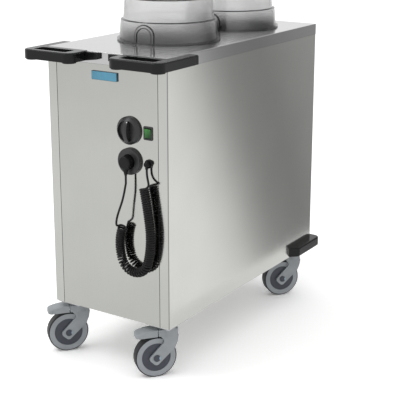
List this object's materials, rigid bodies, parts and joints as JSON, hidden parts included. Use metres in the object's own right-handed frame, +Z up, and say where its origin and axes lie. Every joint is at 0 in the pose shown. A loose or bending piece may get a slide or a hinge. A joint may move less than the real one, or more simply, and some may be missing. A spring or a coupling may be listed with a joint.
{
  "type": "heated plate dispenser cart",
  "caption": "Heated plate dispenser cart: steel cabinet with spring-lifted plate stacks under smoky lift-off domes, push handles, curly mains cord, swivel castors.",
  "frame": {"origin": "on the floor, under the middle of the bounding box of the whole cart without its cord", "axes": "+Z up, +X to the right of a person who faces the control end, +Y from the control end with the push handles towards the end with the corner bumpers"},
  "size_m": [0.482, 0.98, 1.15],
  "materials": {
    "steel_cabinet": "fine satin ground stainless steel sheet",
    "steel_top": "fine satin ground stainless steel sheet",
    "black_rubber_plastic": "grained impact plastic",
    "name_plate_blue": "smooth blue enamelled plate, left blank",
    "bright_steel": "ground stainless steel",
    "spring_steel": "spring wire",
    "smoky_dome": "smooth smoky translucent plastic",
    "heater_steel": "sheet steel case",
    "control_plastic": "fine satin black plastic",
    "rocker_green": "green translucent plastic",
    "socket_plastic": "satin black plastic",
    "plug_rubber": "black rubber",
    "cord_black": "black rubber sheath",
    "zinc_plate": "zinc plated steel",
    "fork_grey": "fine grained grey plastic",
    "axle_steel": "dark blue grey plastic guard discs on a steel axle",
    "wheel_grey": "fine grained grey plastic",
    "tyre_rubber": "dark grey rubber tread",
    "pedal_grey": "fine grained grey plastic"
  },
  "bodies": {
    "cart": {"top_plate": "steel_top", "side_panel_left": "steel_cabinet", "side_panel_right": "steel_cabinet", "front_panel": "steel_cabinet", "rear_panel": "steel_cabinet", "base_pan": "steel_cabinet", "inner_frame": "steel_cabinet", "inner_chamber": "steel_cabinet", "handle_left": "black_rubber_plastic", "handle_right": "black_rubber_plastic", "bumper_left": "black_rubber_plastic", "bumper_right": "black_rubber_plastic", "name_plate": "name_plate_blue", "lift_frame_front": "bright_steel", "lift_frame_rear": "bright_steel", "springs_front": "spring_steel", "springs_rear": "spring_steel", "guide_plate_front": "bright_steel", "guide_plate_rear": "bright_steel", "heater_unit": "heater_steel", "thermostat_body": "control_plastic", "switch_frame": "control_plastic", "park_socket": "socket_plastic", "cable_gland": "plug_rubber", "plug": "plug_rubber", "cord_tail_gland": "cord_black", "cord_coil": "cord_black", "cord_tail_plug": "cord_black", "caster_plates": "zinc_plate", "caster_bolts": "zinc_plate"},
    "platform_front": {"platform_front": "bright_steel"},
    "dome_front": {"dome_front": "smoky_dome"},
    "guide_rod_front_1": {"guide_rod_front_1": "bright_steel"},
    "guide_rod_front_2": {"guide_rod_front_2": "bright_steel"},
    "guide_rod_front_3": {"guide_rod_front_3": "bright_steel"},
    "platform_rear": {"platform_rear": "bright_steel"},
    "dome_rear": {"dome_rear": "smoky_dome"},
    "guide_rod_rear_1": {"guide_rod_rear_1": "bright_steel"},
    "guide_rod_rear_2": {"guide_rod_rear_2": "bright_steel"},
    "guide_rod_rear_3": {"guide_rod_rear_3": "bright_steel"},
    "knob": {"knob": "control_plastic"},
    "rocker": {"rocker": "rocker_green"},
    "fork_front_left": {"fork_front_left": "fork_grey", "axle_front_left": "axle_steel"},
    "wheel_front_left": {"wheel_front_left": "wheel_grey", "tyre_front_left": "tyre_rubber"},
    "brake_pedal_left": {"brake_pedal_left": "pedal_grey"},
    "fork_front_right": {"fork_front_right": "fork_grey", "axle_front_right": "axle_steel"},
    "wheel_front_right": {"wheel_front_right": "wheel_grey", "tyre_front_right": "tyre_rubber"},
    "brake_pedal_right": {"brake_pedal_right": "pedal_grey"},
    "fork_rear_left": {"fork_rear_left": "fork_grey", "axle_rear_left": "axle_steel"},
    "wheel_rear_left": {"wheel_rear_left": "wheel_grey", "tyre_rear_left": "tyre_rubber"},
    "fork_rear_right": {"fork_rear_right": "fork_grey", "axle_rear_right": "axle_steel"},
    "wheel_rear_right": {"wheel_rear_right": "wheel_grey", "tyre_rear_right": "tyre_rubber"}
  },
  "joints": [
    {"name": "platform_front_lift", "type": "slide", "parent": "cart", "child": "platform_front", "axis": [0, 0, 1], "range_m": [-0.5, 0], "stiffness_N_per_m": 150, "springref_m": 0.3, "deforming": ["springs_front"]},
    {"name": "dome_front_lift", "type": "slide", "parent": "cart", "child": "dome_front", "axis": [0, 0, 1], "range_m": [0, 0.25]},
    {"name": "guide_rod_front_1_setting", "type": "slide", "parent": "cart", "child": "guide_rod_front_1", "axis": [0, -1, 0], "range_m": [-0.04, 0.01]},
    {"name": "guide_rod_front_2_setting", "type": "slide", "parent": "cart", "child": "guide_rod_front_2", "axis": [0.866, 0.5, 0], "range_m": [-0.04, 0.01]},
    {"name": "guide_rod_front_3_setting", "type": "slide", "parent": "cart", "child": "guide_rod_front_3", "axis": [-0.866, 0.5, 0], "range_m": [-0.04, 0.01]},
    {"name": "platform_rear_lift", "type": "slide", "parent": "cart", "child": "platform_rear", "axis": [0, 0, 1], "range_m": [-0.5, 0], "stiffness_N_per_m": 150, "springref_m": 0.3, "deforming": ["springs_rear"]},
    {"name": "dome_rear_lift", "type": "slide", "parent": "cart", "child": "dome_rear", "axis": [0, 0, 1], "range_m": [0, 0.25]},
    {"name": "guide_rod_rear_1_setting", "type": "slide", "parent": "cart", "child": "guide_rod_rear_1", "axis": [0, 1, 0], "range_m": [-0.04, 0.01]},
    {"name": "guide_rod_rear_2_setting", "type": "slide", "parent": "cart", "child": "guide_rod_rear_2", "axis": [-0.866, -0.5, 0], "range_m": [-0.04, 0.01]},
    {"name": "guide_rod_rear_3_setting", "type": "slide", "parent": "cart", "child": "guide_rod_rear_3", "axis": [0.866, -0.5, 0], "range_m": [-0.04, 0.01]},
    {"name": "knob_turn", "type": "hinge", "parent": "cart", "child": "knob", "pos_m": [0.0805, -0.422, 0.738], "axis": [0, 1, 0], "range_deg": [0, 270]},
    {"name": "rocker_tilt", "type": "hinge", "parent": "cart", "child": "rocker", "pos_m": [0.1445, -0.409, 0.737], "axis": [1, 0, 0], "range_deg": [-12, 0]},
    {"name": "swivel_front_left", "type": "hinge", "parent": "cart", "child": "fork_front_left", "pos_m": [-0.1657, -0.356, 0.145], "axis": [0, 0, 1], "continuous": true},
    {"name": "roll_front_left", "type": "hinge", "parent": "fork_front_left", "child": "wheel_front_left", "pos_m": [-0.19084, -0.38672, 0.0625], "axis": [0.7738, -0.6334, 0], "continuous": true},
    {"name": "brake_left", "type": "hinge", "parent": "fork_front_left", "child": "brake_pedal_left", "pos_m": [-0.18261, -0.37666, 0.141], "axis": [0.7738, -0.6334, 0], "range_deg": [0, 7]},
    {"name": "swivel_front_right", "type": "hinge", "parent": "cart", "child": "fork_front_right", "pos_m": [0.1657, -0.356, 0.145], "axis": [0, 0, 1], "continuous": true},
    {"name": "roll_front_right", "type": "hinge", "parent": "fork_front_right", "child": "wheel_front_right", "pos_m": [0.14056, -0.38672, 0.0625], "axis": [0.7738, -0.6334, 0], "continuous": true},
    {"name": "brake_right", "type": "hinge", "parent": "fork_front_right", "child": "brake_pedal_right", "pos_m": [0.14879, -0.37666, 0.141], "axis": [0.7738, -0.6334, 0], "range_deg": [0, 7]},
    {"name": "swivel_rear_left", "type": "hinge", "parent": "cart", "child": "fork_rear_left", "pos_m": [-0.1657, 0.404, 0.145], "axis": [0, 0, 1], "continuous": true},
    {"name": "roll_rear_left", "type": "hinge", "parent": "fork_rear_left", "child": "wheel_rear_left", "pos_m": [-0.19084, 0.37328, 0.0625], "axis": [0.7738, -0.6334, 0], "continuous": true},
    {"name": "swivel_rear_right", "type": "hinge", "parent": "cart", "child": "fork_rear_right", "pos_m": [0.1657, 0.404, 0.145], "axis": [0, 0, 1], "continuous": true},
    {"name": "roll_rear_right", "type": "hinge", "parent": "fork_rear_right", "child": "wheel_rear_right", "pos_m": [0.14056, 0.37328, 0.0625], "axis": [0.7738, -0.6334, 0], "continuous": true}
  ]
}
